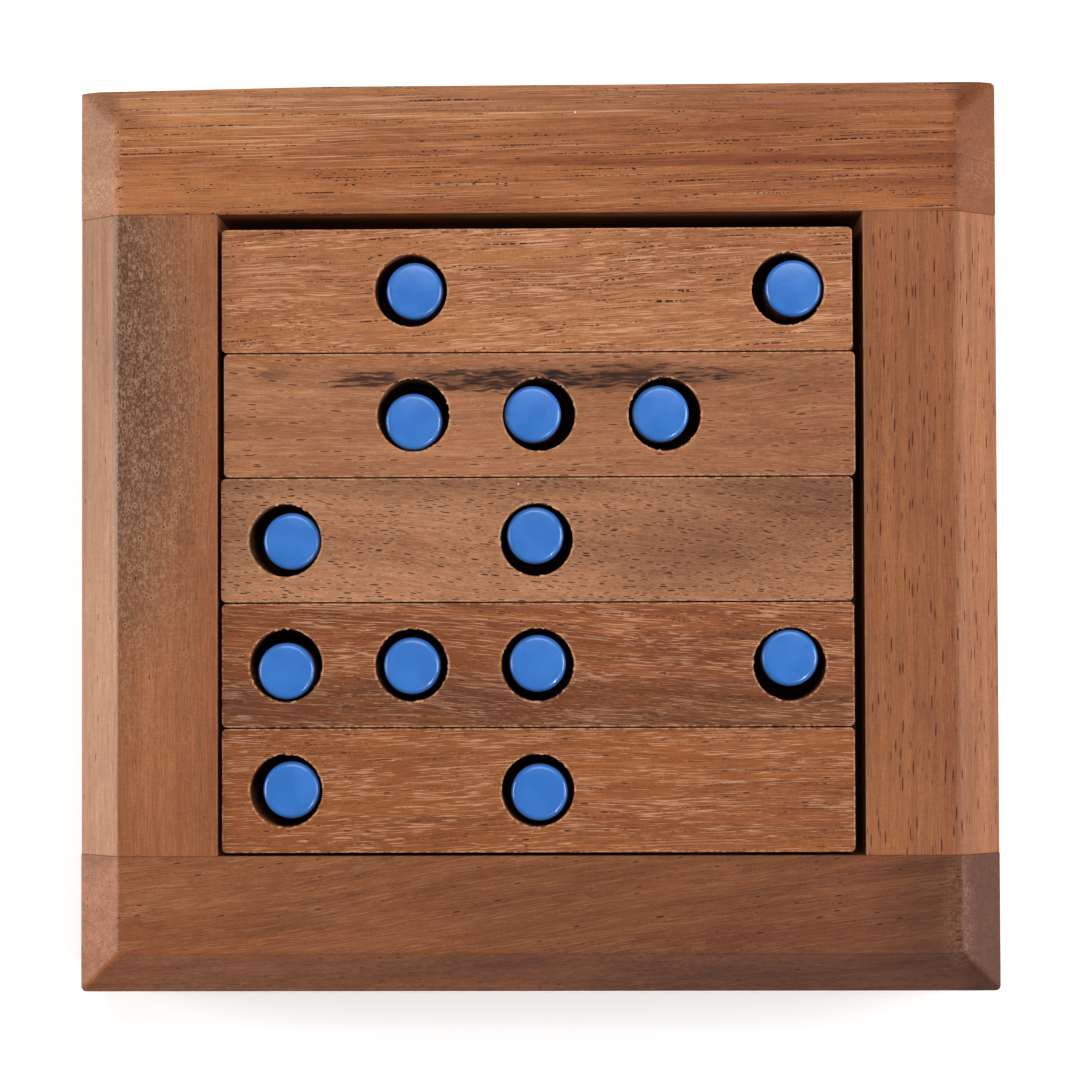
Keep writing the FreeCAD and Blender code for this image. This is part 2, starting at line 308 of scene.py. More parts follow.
def depth_in_box(tree, given):
    """How far a place is inside the sides of a box, along X, Y and Z."""
    away = vector_calc(tree, "SUBTRACT", given["Place"], given["Middle"])
    away = vector_calc(tree, "ABSOLUTE", away)
    return split(tree, vector_calc(tree, "SUBTRACT", given["Half"], away))


def make_wall_shade_group():
    """Painted shade on the walls inside the tray: everything within a box, fading in below its top."""
    tree, given, out = new_group(
        "inside_walls_painted_shade",
        vectors=("Place", "Middle", "Half"),
        values=("Top",),
        gives=("Mask",),
    )
    inner = depth_in_box(tree, given)
    inside = calc(tree, "GREATER_THAN", calc(tree, "MINIMUM", inner[0], inner[1]), 0.0)
    height = split(tree, given["Place"])[2]
    deep = ramp(tree, calc(tree, "SUBTRACT", given["Top"], height), 0.25, 1.6)
    tree.links.new(calc(tree, "MULTIPLY", inside, deep), out["Mask"])
    return tree


def make_hole_shade_and_rim_group():
    """Painted shade on the wall of one drilled hole, deeper down, and the thin ring round its mouth
    that takes a painted highlight.
    """
    tree, given, out = new_group(
        "hole_painted_shade_and_rim",
        vectors=("Place", "Middle"),
        values=("Radius", "Half"),
        gives=("Mask", "Rim"),
    )
    away = vector_calc(tree, "SUBTRACT", given["Place"], given["Middle"])
    apart = split(tree, away)
    far = length_of(tree, assemble(tree, apart[0], apart[1], 0.0))
    near = calc(tree, "LESS_THAN", far, calc(tree, "ADD", given["Radius"], 0.3))
    under = calc(tree, "SUBTRACT", given["Half"], calc(tree, "ABSOLUTE", apart[2]))
    # Painted shade, fading in below the face.
    tree.links.new(calc(tree, "MULTIPLY", near, ramp(tree, under, 0.08, 0.9)), out["Mask"])
    # The ring for the painted highlight is about 0.4 mm wide and lies on the faces alone.
    outside = ramp(tree, calc(tree, "SUBTRACT", far, given["Radius"]), 0.42, 0.12)
    on_face = calc(tree, "LESS_THAN", under, 0.06)
    tree.links.new(calc(tree, "MULTIPLY", outside, on_face), out["Rim"])
    return tree


def make_edge_highlight_group():
    """A painted highlight along a bar's outline and its hole rims, here more and there less."""
    tree, given, out = new_group(
        "painted_edge_highlight",
        vectors=("Place", "Middle", "Half"),
        values=("Rim",),
        gives=("Mask",),
    )
    inner = depth_in_box(tree, given)
    edge = ramp(tree, calc(tree, "MINIMUM", inner[0], inner[1]), 0.3, 0.1)
    edge = calc(tree, "MULTIPLY", edge, calc(tree, "LESS_THAN", inner[2], 0.3))
    edge = calc(tree, "MAXIMUM", edge, given["Rim"])
    patchy = cloudy(tree, given["Place"], 1.6, 3.0)["Fac"]
    patchy = ramp(tree, patchy, 0.4, 0.6, 0.0, 0.6)
    tree.links.new(calc(tree, "MULTIPLY", edge, patchy), out["Mask"])
    return tree


def make_dust_group():
    """A few tiny pale specks of sanding dust."""
    tree, given, out = new_group("sanding_dust", vectors=("Place", "Log"), gives=("Mask",))
    # About one speck to a centimetre, a third of a millimetre across.
    spot = vector_calc(tree, "ADD", given["Place"], given["Log"])
    spot = vector_calc(tree, "MULTIPLY", spot, (0.1, 0.1, 0.1))
    tree.links.new(ramp(tree, scattered(tree, spot)["Distance"], 0.022, 0.012), out["Mask"])
    return tree


PORE_RINGS = make_pore_group()
HARDWOOD = make_hardwood_group()
PATCH = make_patch_group()
WALL_SHADE_GROUP = make_wall_shade_group()
HOLE_SHADE_AND_RIM_GROUP = make_hole_shade_and_rim_group()
EDGE_HIGHLIGHT_GROUP = make_edge_highlight_group()
DUST = make_dust_group()


def new_material(name):
    """An empty material with its shader."""
    material = bpy.data.materials.new(name)
    material.use_nodes = True
    tree = material.node_tree
    tree.nodes.clear()
    shader = tree.nodes.new("ShaderNodeBsdfPrincipled")
    end = tree.nodes.new("ShaderNodeOutputMaterial")
    tree.links.new(shader.outputs[0], end.inputs["Surface"])
    return material, tree, shader


def raise_surface(tree, shader, height, strength):
    """Roughness that the light catches, a tenth of a millimetre high."""
    inputs = {"Height": height, "Strength": strength, "Distance": 0.1 * MM}
    tree.links.new(put(tree, "ShaderNodeBump", inputs).outputs[0], shader.inputs["Normal"])


def millimetres(tree, turn=0.0, tilt=0.0):
    """The piece's own places in millimetres, turned so that its grain runs along X."""
    inputs = {
        "Vector": put(tree, "ShaderNodeTexCoord", {}).outputs["Object"],
        "Scale": (1000, 1000, 1000),
        "Rotation": (0, math.radians(tilt), math.radians(turn)),
    }
    return put(tree, "ShaderNodeMapping", inputs).outputs[0]


BURL_RING = colour(178, 136, 106)
SANDING_DUST = colour(225, 215, 205)
# These multiply the wood's colour: painted shade on the tray's inner walls and down the bars' holes,
# and paler pore sheaths.
PAINTED_WALL_SHADE = (0.8, 0.9, 1.0, 1)
PAINTED_HOLE_SHADE = (0.66, 0.72, 0.8, 1)
PALER = (1.3, 1.26, 1.22, 1)

# How a plain piece of this wood looks. Each piece changes what is different on it.
PLAIN_WOOD = {
    "Slope": 0.0,
    "Waver": 2.5,
    "Red": colour(140, 72, 40),
    "Bands": 0.5,
    "Streaks": 0.5,
    "Reds": 0.3,
    "Lines": 0.3,
    "Rows": 0.6,
    "Flecks": 0.6,
    "Pores": 0.5,
    "Pore Cell": (2.8, 0.5, 0.5),
    "Pore Girth": 0.18,
    "Pore Colour": RED_PORE,
    "Sheaths": 0.1,
}


def patch_mask(tree, place, middle, reach, tear, ragged, soft, amount):
    """Where one mark is, and how strong: reach is its half size, and tear the size of its rags."""
    shape = {"Middle": middle, "Reach": reach, "Tear": tear, "Ragged": ragged, "Soft": soft}
    return place_group(tree, PATCH, {"Place": place, **shape, "Amount": amount})["Mask"]


def lay_patch(tree, place, look, middle, reach, tear, ragged, soft, amount, shade):
    """A stain or a bleached spot, which multiplies the wood's colour."""
    mask = patch_mask(tree, place, middle, reach, tear, ragged, soft, amount)
    return blend(tree, mask, look, shade, "MULTIPLY")


def lay_strand(tree, place, look, middle, reach, soft, amount, shade):
    """Thin dark threads that wave a little, with the wood showing between them."""
    mask = patch_mask(tree, place, middle, reach, (5, 0.8, 0.8), 0.7, soft, amount)
    wave = cloudy(tree, place, 0.3, 0.5)["Color"]
    wave = vector_calc(tree, "SUBTRACT", wave, (0.5, 0.5, 0.5))
    waved = vector_calc(tree, "ADD", place, vector_calc(tree, "MULTIPLY", wave, (0, 1.3, 0)))
    thread = along_grain(tree, waved, 3.4, 0.4, 2, 47.0, 0.6)
    outside = calc(tree, "MULTIPLY", calc(tree, "SUBTRACT", mask, 1.0), 0.4)
    thread = calc(tree, "ADD", thread, outside)
    return blend(tree, ramp(tree, thread, 0.3, 0.56), look, shade, "MULTIPLY")


def lay_end_grain(tree, place, look, middle, reach, soft, amount, shade):
    """Bevelled end grain: a colour of its own, speckled, with cut-open pores."""
    mask = patch_mask(tree, place, middle, reach, (5, 3, 3), 0.5, soft, amount)
    speck = along_grain(tree, place, 0.6, 0.4, 3, 5.0, 0.75)
    speck = ramp(tree, speck, 0.32, 0.68, 0.66, 1.34, False)
    stain = blend(tree, 1.0, grey(tree, speck), shade, "MULTIPLY")
    dots = {"Cell": (1.2, 0.8, 0.8), "Share": 0.45, "Girth": 0.22}
    dots = place_group(tree, PORE_RINGS, {"Place": place, **dots})
    stain = blend(tree, calc(tree, "MULTIPLY", dots["Hollow"], 0.6), stain, RED_PORE)
    stain = blend(tree, dots["Sheath"], stain, PALER, "MULTIPLY")
    return blend(tree, mask, look, stain)


def lay_burl(tree, place, look, middle, reach, soft, amount):
    """A rough patch, speckled with small pale rings."""
    mask = patch_mask(tree, place, middle, reach, (6, 3, 3), 1.2, soft, amount)
    rings = {"Cell": (1.0, 0.8, 0.8), "Share": 0.85, "Girth": 0.19}
    rings = place_group(tree, PORE_RINGS, {"Place": place, **rings})
    grit = ramp(tree, along_grain(tree, place, 0.45, 0.28, 2, 3.0, 0.7), 0.46, 0.6)
    rough = calc(tree, "MAXIMUM", calc(tree, "MULTIPLY", grit, 0.7), rings["Sheath"])
    rough = calc(tree, "MULTIPLY", mask, rough)
    look = blend(tree, calc(tree, "MULTIPLY", rough, 0.8), look, BURL_RING)
    return blend(tree, calc(tree, "MULTIPLY", mask, rings["Hollow"]), look, RED_PORE)


MARKS = {"patches": lay_patch, "strands": lay_strand, "end_grain": lay_end_grain, "burls": lay_burl}


def lay_hole_shade_and_highlight(tree, place, look, middle, half, holes):
    """Painted shade down a bar's hole walls, and a painted highlight on its hole rims and outline."""
    rim = 0.0
    for hole in holes:
        shape = {"Middle": hole, "Radius": HOLE_RADIUS / MM, "Half": half.z}
        wall = place_group(tree, HOLE_SHADE_AND_RIM_GROUP, {"Place": place, **shape})
        # Painted shade down each hole's wall.
        look = blend(tree, wall["Mask"], look, PAINTED_HOLE_SHADE, "MULTIPLY")
        rim = calc(tree, "MAXIMUM", wall["Rim"], rim)
    outline = {"Place": place, "Middle": middle, "Half": half, "Rim": rim}
    # Painted highlight along the hole rims and the bar's outline.
    return blend(tree, place_group(tree, EDGE_HIGHLIGHT_GROUP, outline)["Mask"], look, FLECK_AND_HIGHLIGHT)


def oiled_wood(name, turn=0.0, walls=None, drilled=None, **own):
    """A piece's own wood: its grain, colours and marks, with painted shade on its inner walls, or
    painted shade down its drilled holes and a painted highlight on their rims and its outline.

    Each mark is what its function takes after the tree, the place and the look, in that order.
    """
    material, tree, shader = new_material(name)
    place = millimetres(tree, turn)
    marks = {kind: own.pop(kind, ()) for kind in MARKS}
    values = dict(PLAIN_WOOD)
    values.update({key.replace("_", " ").title(): value for key, value in own.items()})
    wood = place_group(tree, HARDWOOD, {"Place": place, **values})
    look = wood["Color"]
    for kind, lay in MARKS.items():
        for mark in marks[kind]:
            look = lay(tree, place, look, *mark)
    if walls:
        # Painted shade on the tray's inner walls, deeper below the top.
        mask = place_group(tree, WALL_SHADE_GROUP, {"Place": millimetres(tree), **walls})["Mask"]
        look = blend(tree, mask, look, PAINTED_WALL_SHADE, "MULTIPLY")
    if drilled:
        look = lay_hole_shade_and_highlight(tree, place, look, *drilled)
    dust = place_group(tree, DUST, {"Place": place, "Log": values["Log"]})["Mask"]
    look = blend(tree, dust, look, SANDING_DUST)
    tree.links.new(look, shader.inputs["Base Color"])
    tree.links.new(wood["Roughness"], shader.inputs["Roughness"])
    shader.inputs["Specular IOR Level"].default_value = 0.25
    raise_surface(tree, shader, wood["Height"], 0.6)
    return material


def painted_pin(name, top):
    """Gloss blue paint over the top of a bare dowel, with a ragged lower edge."""
    material, tree, shader = new_material(name)
    standing = millimetres(tree, tilt=90.0)
    dowel = {"Log": (31.0, 5.0, 9.0), "Pale": colour(160, 104, 68), "Deep": colour(120, 72, 44)}
    wood = place_group(tree, HARDWOOD, {"Place": standing, **PLAIN_WOOD, **dowel})
    place = millimetres(tree)
    depth = calc(tree, "SUBTRACT", top / MM, split(tree, place)[2])
    drips = cloudy(tree, place, 0.45, 3.0)["Fac"]
    edge = ramp(tree, drips, 0.3, 0.7, 1.0, 3.4)
    bare = ramp(tree, calc(tree, "SUBTRACT", depth, edge), -0.08, 0.08)
    thick = cloudy(tree, place, 0.22, 2.0)["Fac"]
    blue = blend(tree, ramp(tree, thick, 0.3, 0.7), colour(50, 112, 192), colour(56, 120, 202))
    dust = place_group(tree, DUST, {"Place": place, "Log": (3.0, 8.0, 1.0)})["Mask"]
    blue = blend(tree, dust, blue, colour(215, 222, 232))
    tree.links.new(blend(tree, bare, blue, wood["Color"]), shader.inputs["Base Color"])
    smooth = ramp(tree, thick, 0.3, 0.7, 0.24, 0.32)
    dull = calc(tree, "MULTIPLY", bare, 0.4)
    tree.links.new(calc(tree, "ADD", smooth, dull), shader.inputs["Roughness"])
    shader.inputs["Coat Weight"].default_value = 0.22
    shader.inputs["Coat Roughness"].default_value = 0.08
    ripple = cloudy(tree, place, 1.3, 2.0)["Fac"]
    step = calc(tree, "MULTIPLY", bare, -1.0)
    height = calc(tree, "ADD", calc(tree, "MULTIPLY", ripple, 0.5), step)
    raise_surface(tree, shader, height, 0.35)
    return material


# ---- Modelling ----

HOLE_PITCH = 17.7 * MM
HOLE_RADIUS = 5.1 * MM
UPRIGHT_ROUND = 0.7 * MM
EASED = 0.4 * MM
EASED_BAR = 0.13 * MM
GLUED = 0.09 * MM
HAIR = 0.01 * MM
CORNER_STEPS = 5
RIDGE_FLATS = 3
MITRE_FLATS = 4
TORN_RIM = 0.75 * MM
TEARS_ALONG_EDGE = 14
SMOOTH_UNDER = math.radians(28)

ragged_noise = bpy.data.textures.new("torn_rim", "CLOUDS")
ragged_noise.noise_scale = 0.5 * MM
ragged_noise.noise_depth = 2


def pick(piece):
    """Selects one piece alone."""
    bpy.ops.object.select_all(action="DESELECT")
    piece.select_set(True)
    bpy.context.view_layer.objects.active = piece


def edit(piece):
    """Selects one piece alone and opens it for editing by edges."""
    pick(piece)
    bpy.ops.object.mode_set(mode="EDIT")
    bpy.ops.mesh.select_mode(type="EDGE")


def close():
    """Ends editing."""
    bpy.ops.object.mode_set(mode="OBJECT")


def settle(piece, name):
    """Names a new primitive and puts its place into its mesh."""
    piece.name = name
    piece.data.name = name
    bpy.ops.object.transform_apply(location=True, rotation=True, scale=True)
    return piece


def start_block(name, low, high):
    """A plain block between two corners."""
    bpy.ops.object.select_all(action="DESELECT")
    bpy.ops.mesh.primitive_cube_add(size=1, location=(low + high) / 2, scale=high - low)
    return settle(bpy.context.object, name)


def pick_edges(piece, wanted, sharper_than=None):
    """In edit mode, selects the edges whose ends wanted() accepts, or only the sharp ones of them."""
    if sharper_than is None:
        bpy.ops.mesh.select_all(action="SELECT")
    else:
        bpy.ops.mesh.select_all(action="DESELECT")
        bpy.ops.mesh.edges_select_sharp(sharpness=math.radians(sharper_than))
    bpy.ops.object.mode_set(mode="OBJECT")
    mesh = piece.data
    kept = []
    for line in mesh.edges:
        ends = [mesh.vertices[number].co for number in line.vertices]
        if line.select and wanted(*ends):
            kept.append(line.index)
    for group in (mesh.polygons, mesh.edges, mesh.vertices):
        group.foreach_set("select", [False] * len(group))
    for number in kept:
        mesh.edges[number].select = True
    bpy.ops.object.mode_set(mode="EDIT")
    return len(kept)


def runs_along(a, b, axis):
    """Whether the edge between two corners is parallel to an axis."""
    return abs((b - a).normalized()[axis]) > 0.999


def slice_block(piece, cuts):
    """Slices a block across X, Y and Z, which gives the Boolean even faces to cut."""
    for axis, count in enumerate(cuts):
        pick_edges(piece, lambda a, b: runs_along(a, b, axis))
        bpy.ops.mesh.subdivide(number_cuts=count)


def round_upright_corners(piece, low, high):
    """Rounds the four upright edges of a block."""

    def upright_corner(a, b):
        at_x = min(abs(a.x - low.x), abs(a.x - high.x)) < HAIR
        at_y = min(abs(a.y - low.y), abs(a.y - high.y)) < HAIR
        return runs_along(a, b, 2) and at_x and at_y

    round_edges(piece, upright_corner, UPRIGHT_ROUND, CORNER_STEPS)


def plane_off(point, normal):
    """Planes away everything beyond a plane and closes the cut."""
    bpy.ops.mesh.select_all(action="SELECT")
    bpy.ops.mesh.bisect(
        plane_co=point, plane_no=normal, use_fill=True, clear_outer=True, threshold=1e-7
    )


def plane_round(first, second, radius, flats):
    """Rounds the edge between two planed faces with narrow flats, the way a sanding block does."""
    start, end = first[1], second[1]
    on_edge = intersect_plane_plane(*first, *second)[0]
    middle = on_edge - (start + end).normalized() * radius / math.cos(start.angle(end) / 2)
    for number in range(1, flats + 1):
        way = start.slerp(end, number / (flats + 1))
        plane_off(middle + way * radius, way)


def round_edges(piece, wanted, width, steps, sharper_than=None):
    """Rounds the edges that wanted() accepts."""
    if pick_edges(piece, wanted, sharper_than):
        bpy.ops.mesh.bevel(
            offset=width, segments=steps, profile=0.5, affect="EDGES", clamp_overlap=True
        )


def apply_modifier(piece, kind, **settings):
    """Adds a modifier and applies it."""
    pick(piece)
    modifier = piece.modifiers.new(kind.lower(), kind)
    for name, value in settings.items():
        setattr(modifier, name, value)
    bpy.ops.object.modifier_apply(modifier=modifier.name)


def cut_away(piece, cutter):
    """Takes the cutter's shape out of the piece and throws the cutter away."""
    apply_modifier(piece, "BOOLEAN", operation="DIFFERENCE", object=cutter, solver="MANIFOLD")
    bpy.data.objects.remove(cutter, do_unlink=True)


def join(parts):
    """Makes one object of several."""
    bpy.ops.object.select_all(action="DESELECT")
    for part in parts:
        part.select_set(True)
    bpy.context.view_layer.objects.active = parts[0]
    bpy.ops.object.join()
    return parts[0]


def copy_of(piece, name):
    """A copy with a mesh of its own."""
    twin = piece.copy()
    twin.data = piece.data.copy()
    twin.name = name
    twin.data.name = name
    bpy.context.collection.objects.link(twin)
    return twin


def keep_faces_true(piece):
    """Shades level, upright and bevelled faces flat, so that the edges' rounding stays out of them."""
    near = 0.022
    planed = (0.0, math.sqrt(0.5), 1.0)
    for face in piece.data.polygons:
        if all(min(abs(abs(part) - step) for step in planed) < near for part in face.normal):
            face.use_smooth = False


def finish_piece(piece, node, body, slot, material):
    """Gives a piece its finish, attaches it to the body it moves with, and hides the CAD part it
    stands for.
    """
    pick(piece)
    bpy.ops.object.shade_smooth_by_angle(angle=SMOOTH_UNDER)
    if slot != "pin_paint":
        keep_faces_true(piece)
    piece.data.materials.clear()
    piece.data.materials.append(material)
    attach(piece, body)
    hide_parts(node)


def top_face(node):
    """The lowest and highest corner of a CAD node's top face."""
    corners = [vertex.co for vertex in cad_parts[node].data.vertices]
    height = max(corner.z for corner in corners)
    level = [corner for corner in corners if corner.z > height - HAIR]
    low = Vector((min(c.x for c in level), min(c.y for c in level), height))
    high = Vector((max(c.x for c in level), max(c.y for c in level), height))
    return low, high


def round_bar(name, middle, ends, radius, sides):
    """An upright cylinder between two heights."""
    bottom, top = ends
    bpy.ops.object.select_all(action="DESELECT")
    bpy.ops.mesh.primitive_cylinder_add(
        vertices=sides,
        radius=radius,
        depth=top - bottom,
        location=(middle.x, middle.y, (bottom + top) / 2),
    )
    return settle(bpy.context.object, name)


def drill(name, middle, bottom, top):
    """A cutter for one hole, its rims torn a little wider, as a drill leaves them in such wood."""
    over = 0.5 * MM
    lip = 0.3 * MM
    ends = (bottom - over, top + over)
    cutter = round_bar(name, middle, ends, HOLE_RADIUS, sides=128)
    edit(cutter)
    for height in (bottom, bottom + lip, top - lip, top):
        bpy.ops.mesh.select_all(action="SELECT")
        bpy.ops.mesh.bisect(plane_co=(0, 0, height), plane_no=(0, 0, 1))
    close()
    rims = cutter.vertex_groups.new(name="rims")
    for point in cutter.data.vertices:
        if not bottom + lip / 2 <= point.co.z <= top - lip / 2:
            rims.add([point.index], 1.0, "REPLACE")
    apply_modifier(
        cutter,
        "DISPLACE",
        texture=ragged_noise,
        strength=TORN_RIM,
        mid_level=0.4,
        vertex_group="rims",
        texture_coords="LOCAL",
    )
    return cutter


def nicks(name, spots, seed):
    """Small rough lumps, one at each (place, size), that bite little tears out of an edge."""
    bpy.ops.object.select_all(action="DESELECT")
    bpy.ops.mesh.primitive_ico_sphere_add(subdivisions=2, radius=1)
    lump = settle(bpy.context.object, name)
    edit(lump)
    bpy.ops.mesh.select_all(action="SELECT")
    bpy.ops.transform.vertex_random(offset=0.28, uniform=0.1, seed=seed)
    close()
    lumps = []
    for number, (place, size) in enumerate(spots):
        twin = copy_of(lump, f"{name}_{number}")
        twin.location = place
        twin.scale = size
        twin.rotation_euler = (number * 1.7, 0, 0)
        lumps.append(twin)
    bpy.data.objects.remove(lump, do_unlink=True)
    return settle(join(lumps), name)


def nicks_along(name, start, end, seed):
    """Tears scattered along one straight edge that runs along X."""
    long, deep = 1.3 * MM, 0.22 * MM
    chance = random.Random(seed)
    spots = []
    for number in range(TEARS_ALONG_EDGE):
        share = (number + chance.uniform(0.1, 0.9)) / TEARS_ALONG_EDGE
        along = chance.uniform(0.35, 1.0) * long
        across = chance.uniform(0.5, 1.0) * deep
        spots.append((start + (end - start) * share, (along, across, across)))
    return nicks(name, spots, seed)


# ---- The tray ----


def shape_rail(node, ridge, mitre, skew=0.0, shaved=()):
    """A rail: planed to its bevels, ridge and mitres rounded by hand, glued edges nearly sharp.

    The long bevel may run a little skew, and shaved planes take a sliver off the outside.
    """
    low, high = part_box(node)
    ridge_low, ridge_high = top_face(node)
    lengthwise = 0 if high.x - low.x > high.y - low.y else 1
    outsides, bevels = [], []
    for axis, ridge_at, side, way in (
        (0, ridge_low.x, low.x, -1),
        (0, ridge_high.x, high.x, 1),
        (1, ridge_low.y, low.y, -1),
        (1, ridge_high.y, high.y, 1),
    ):
        if abs(ridge_at - side) < HAIR:
            continue
        outsides.append((axis, side))
        point, normal = Vector((0, 0, high.z)), Vector((0, 0, 1))
        point[axis], normal[axis] = ridge_at, way
        if axis != lengthwise:
            normal[lengthwise] = skew
        bevels.append((point, normal.normalized()))

    def beside(a, b, axis, side):
        return abs(a[axis] - side) < HAIR and abs(b[axis] - side) < HAIR

    def outer_corner(a, b):
        return sum(beside(a, b, *face) for face in outsides) == 2

    def glued(a, b):
        inner = [(2, low.z)]
        inner += [
            (axis, side)
            for axis, side in ((0, low.x), (0, high.x), (1, low.y), (1, high.y))
            if (axis, side) not in outsides
        ]
        return any(beside(a, b, *face) for face in inner)

    piece = start_block(f"{node}_wood", low, high)
    edit(piece)
    round_edges(piece, outer_corner, UPRIGHT_ROUND, CORNER_STEPS)
    for point, normal in bevels:
        plane_off(point, normal)
    for point, normal in shaved:
        plane_off(point, normal.normalized())
    top = (Vector((0, 0, high.z)), Vector((0, 0, 1)))
    for number, bevel in enumerate(bevels):
        plane_round(bevel, top, ridge, RIDGE_FLATS)
        for other in bevels[number + 1 :]:
            neighbours = bevel[1].angle(other[1]) < math.radians(80)
            if neighbours:
                plane_round(bevel, other, mitre, MITRE_FLATS)
    round_edges(piece, lambda a, b: not glued(a, b), EASED, 3, sharper_than=25)
    round_edges(piece, glued, GLUED, 1, sharper_than=50)
    close()
    return piece


def shape_board():
    """The base board, with its lower edges eased and a blind socket for each pin."""
    low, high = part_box("base_board")
    piece = start_block("base_board_wood", low, high)
    edit(piece)
    slice_block(piece, (31, 31, 2))
    round_upright_corners(piece, low, high)
    round_edges(piece, lambda a, b: max(a.z, b.z) < low.z + HAIR, EASED, 3, sharper_than=50)
    round_edges(piece, lambda a, b: min(a.z, b.z) > high.z - HAIR, GLUED, 1, sharper_than=50)
    close()
    cutters = []
    for node in pin_nodes:
        pin_low, pin_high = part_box(node)
        middle = (pin_low + pin_high) / 2
        radius = (pin_high.x - pin_low.x) / 2 + 0.05 * MM
        ends = (pin_low.z, 2 * high.z - pin_low.z)
        cutters.append(round_bar(f"socket_{node}", middle, ends, radius, sides=40))
    cut_away(piece, join(cutters))
    return piece


# ---- The bars ----


def hole_middles(row):
    """Where a bar's holes go: one for each of the row's pins, on a grid centred on the bar."""
    low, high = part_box(f"bar_{row}")
    middle = (low + high) / 2
    columns = [int(node[-1]) for node in pin_nodes if node.startswith(f"pin_row{row}_")]
    return [Vector((middle.x + (column - 3) * HOLE_PITCH, middle.y, middle.z)) for column in columns]


def shape_bar(row):
    """A loose bar: eased all round, drilled through, and torn here and there along its edges."""
    low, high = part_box(f"bar_{row}")
    piece = start_block(f"bar_{row}_wood", low, high)
    edit(piece)
    slice_block(piece, (39, 5, 5))
    round_upright_corners(piece, low, high)
    round_edges(piece, lambda a, b: True, EASED_BAR, 2, sharper_than=50)
    close()
    cutters = []
    for number, middle in enumerate(hole_middles(row)):
        cutters.append(drill(f"drill_{row}_{number}", middle, low.z, high.z))
    inset = 0.02 * MM
    from_ends = 2 * MM
    for number, y in enumerate((low.y + inset, high.y - inset)):
        start = Vector((low.x + from_ends, y, high.z - inset))
        end = Vector((high.x - from_ends, y, high.z - inset))
        cutters.append(nicks_along(f"tear_{row}_{number}", start, end, seed=row * 10 + number))
    cut_away(piece, join(cutters))
    return piece


# ---- The pins ----


def shape_pin(name, node):
    """A dowel with a rounded rim and a slightly domed top, turned up from a disc ring by ring."""
    low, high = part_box(node)
    middle = (low + high) / 2
    radius = (high.x - low.x) / 2
    rim = 0.75 * MM
    dome = 0.14 * MM
    steps = 7
    bpy.ops.object.select_all(action="DESELECT")
    bpy.ops.mesh.primitive_circle_add(
        vertices=64, radius=radius, fill_type="NGON", location=(middle.x, middle.y, low.z)
    )
    piece = settle(bpy.context.object, name)
    rings = [(radius, high.z - dome - rim)]
    for step in range(1, steps + 1):
        turn = math.pi / 2 * step / steps
        rings.append((radius - rim * (1 - math.cos(turn)), high.z - dome - rim + rim * math.sin(turn)))
    flat = radius - rim
    for share in (0.8, 0.55, 0.3, 0.08):
        rings.append((flat * share, high.z - dome * share**2))
    edit(piece)
    bpy.ops.mesh.select_all(action="SELECT")
    centre = Vector((middle.x, middle.y, 0))
    size, height = radius, low.z
    for new_size, new_height in rings:
        bpy.ops.mesh.extrude_region_move(TRANSFORM_OT_translate={"value": (0, 0, new_height - height)})
        ratio = new_size / size
        bpy.ops.transform.resize(value=(ratio, ratio, 1), center_override=centre)
        size, height = new_size, new_height
    bpy.ops.mesh.select_all(action="SELECT")
    bpy.ops.mesh.normals_make_consistent(inside=False)
    close()
    return piece


# ---- Putting it together ----

pin_nodes = sorted(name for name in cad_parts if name.startswith("pin_row"))

cavity_low = Vector((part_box("left_rail")[1].x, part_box("front_rail")[1].y, 0))
cavity_high = Vector((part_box("right_rail")[0].x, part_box("back_rail")[0].y, 0))
TRAY_WALLS = {
    "Middle": (cavity_low + cavity_high) / 2 / MM,
    "Half": (cavity_high - cavity_low) / 2 / MM + Vector((0.15, 0.15, 0)),
    "Top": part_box("back_rail")[1].z / MM,
}


def bar_holes(row):
    """A bar's middle, half its size, and the middles of its holes, in millimetres."""
    low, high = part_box(f"bar_{row}")
    holes = [middle / MM for middle in hole_middles(row)]
    return (low + high) / 2 / MM, (high - low) / 2 / MM, holes


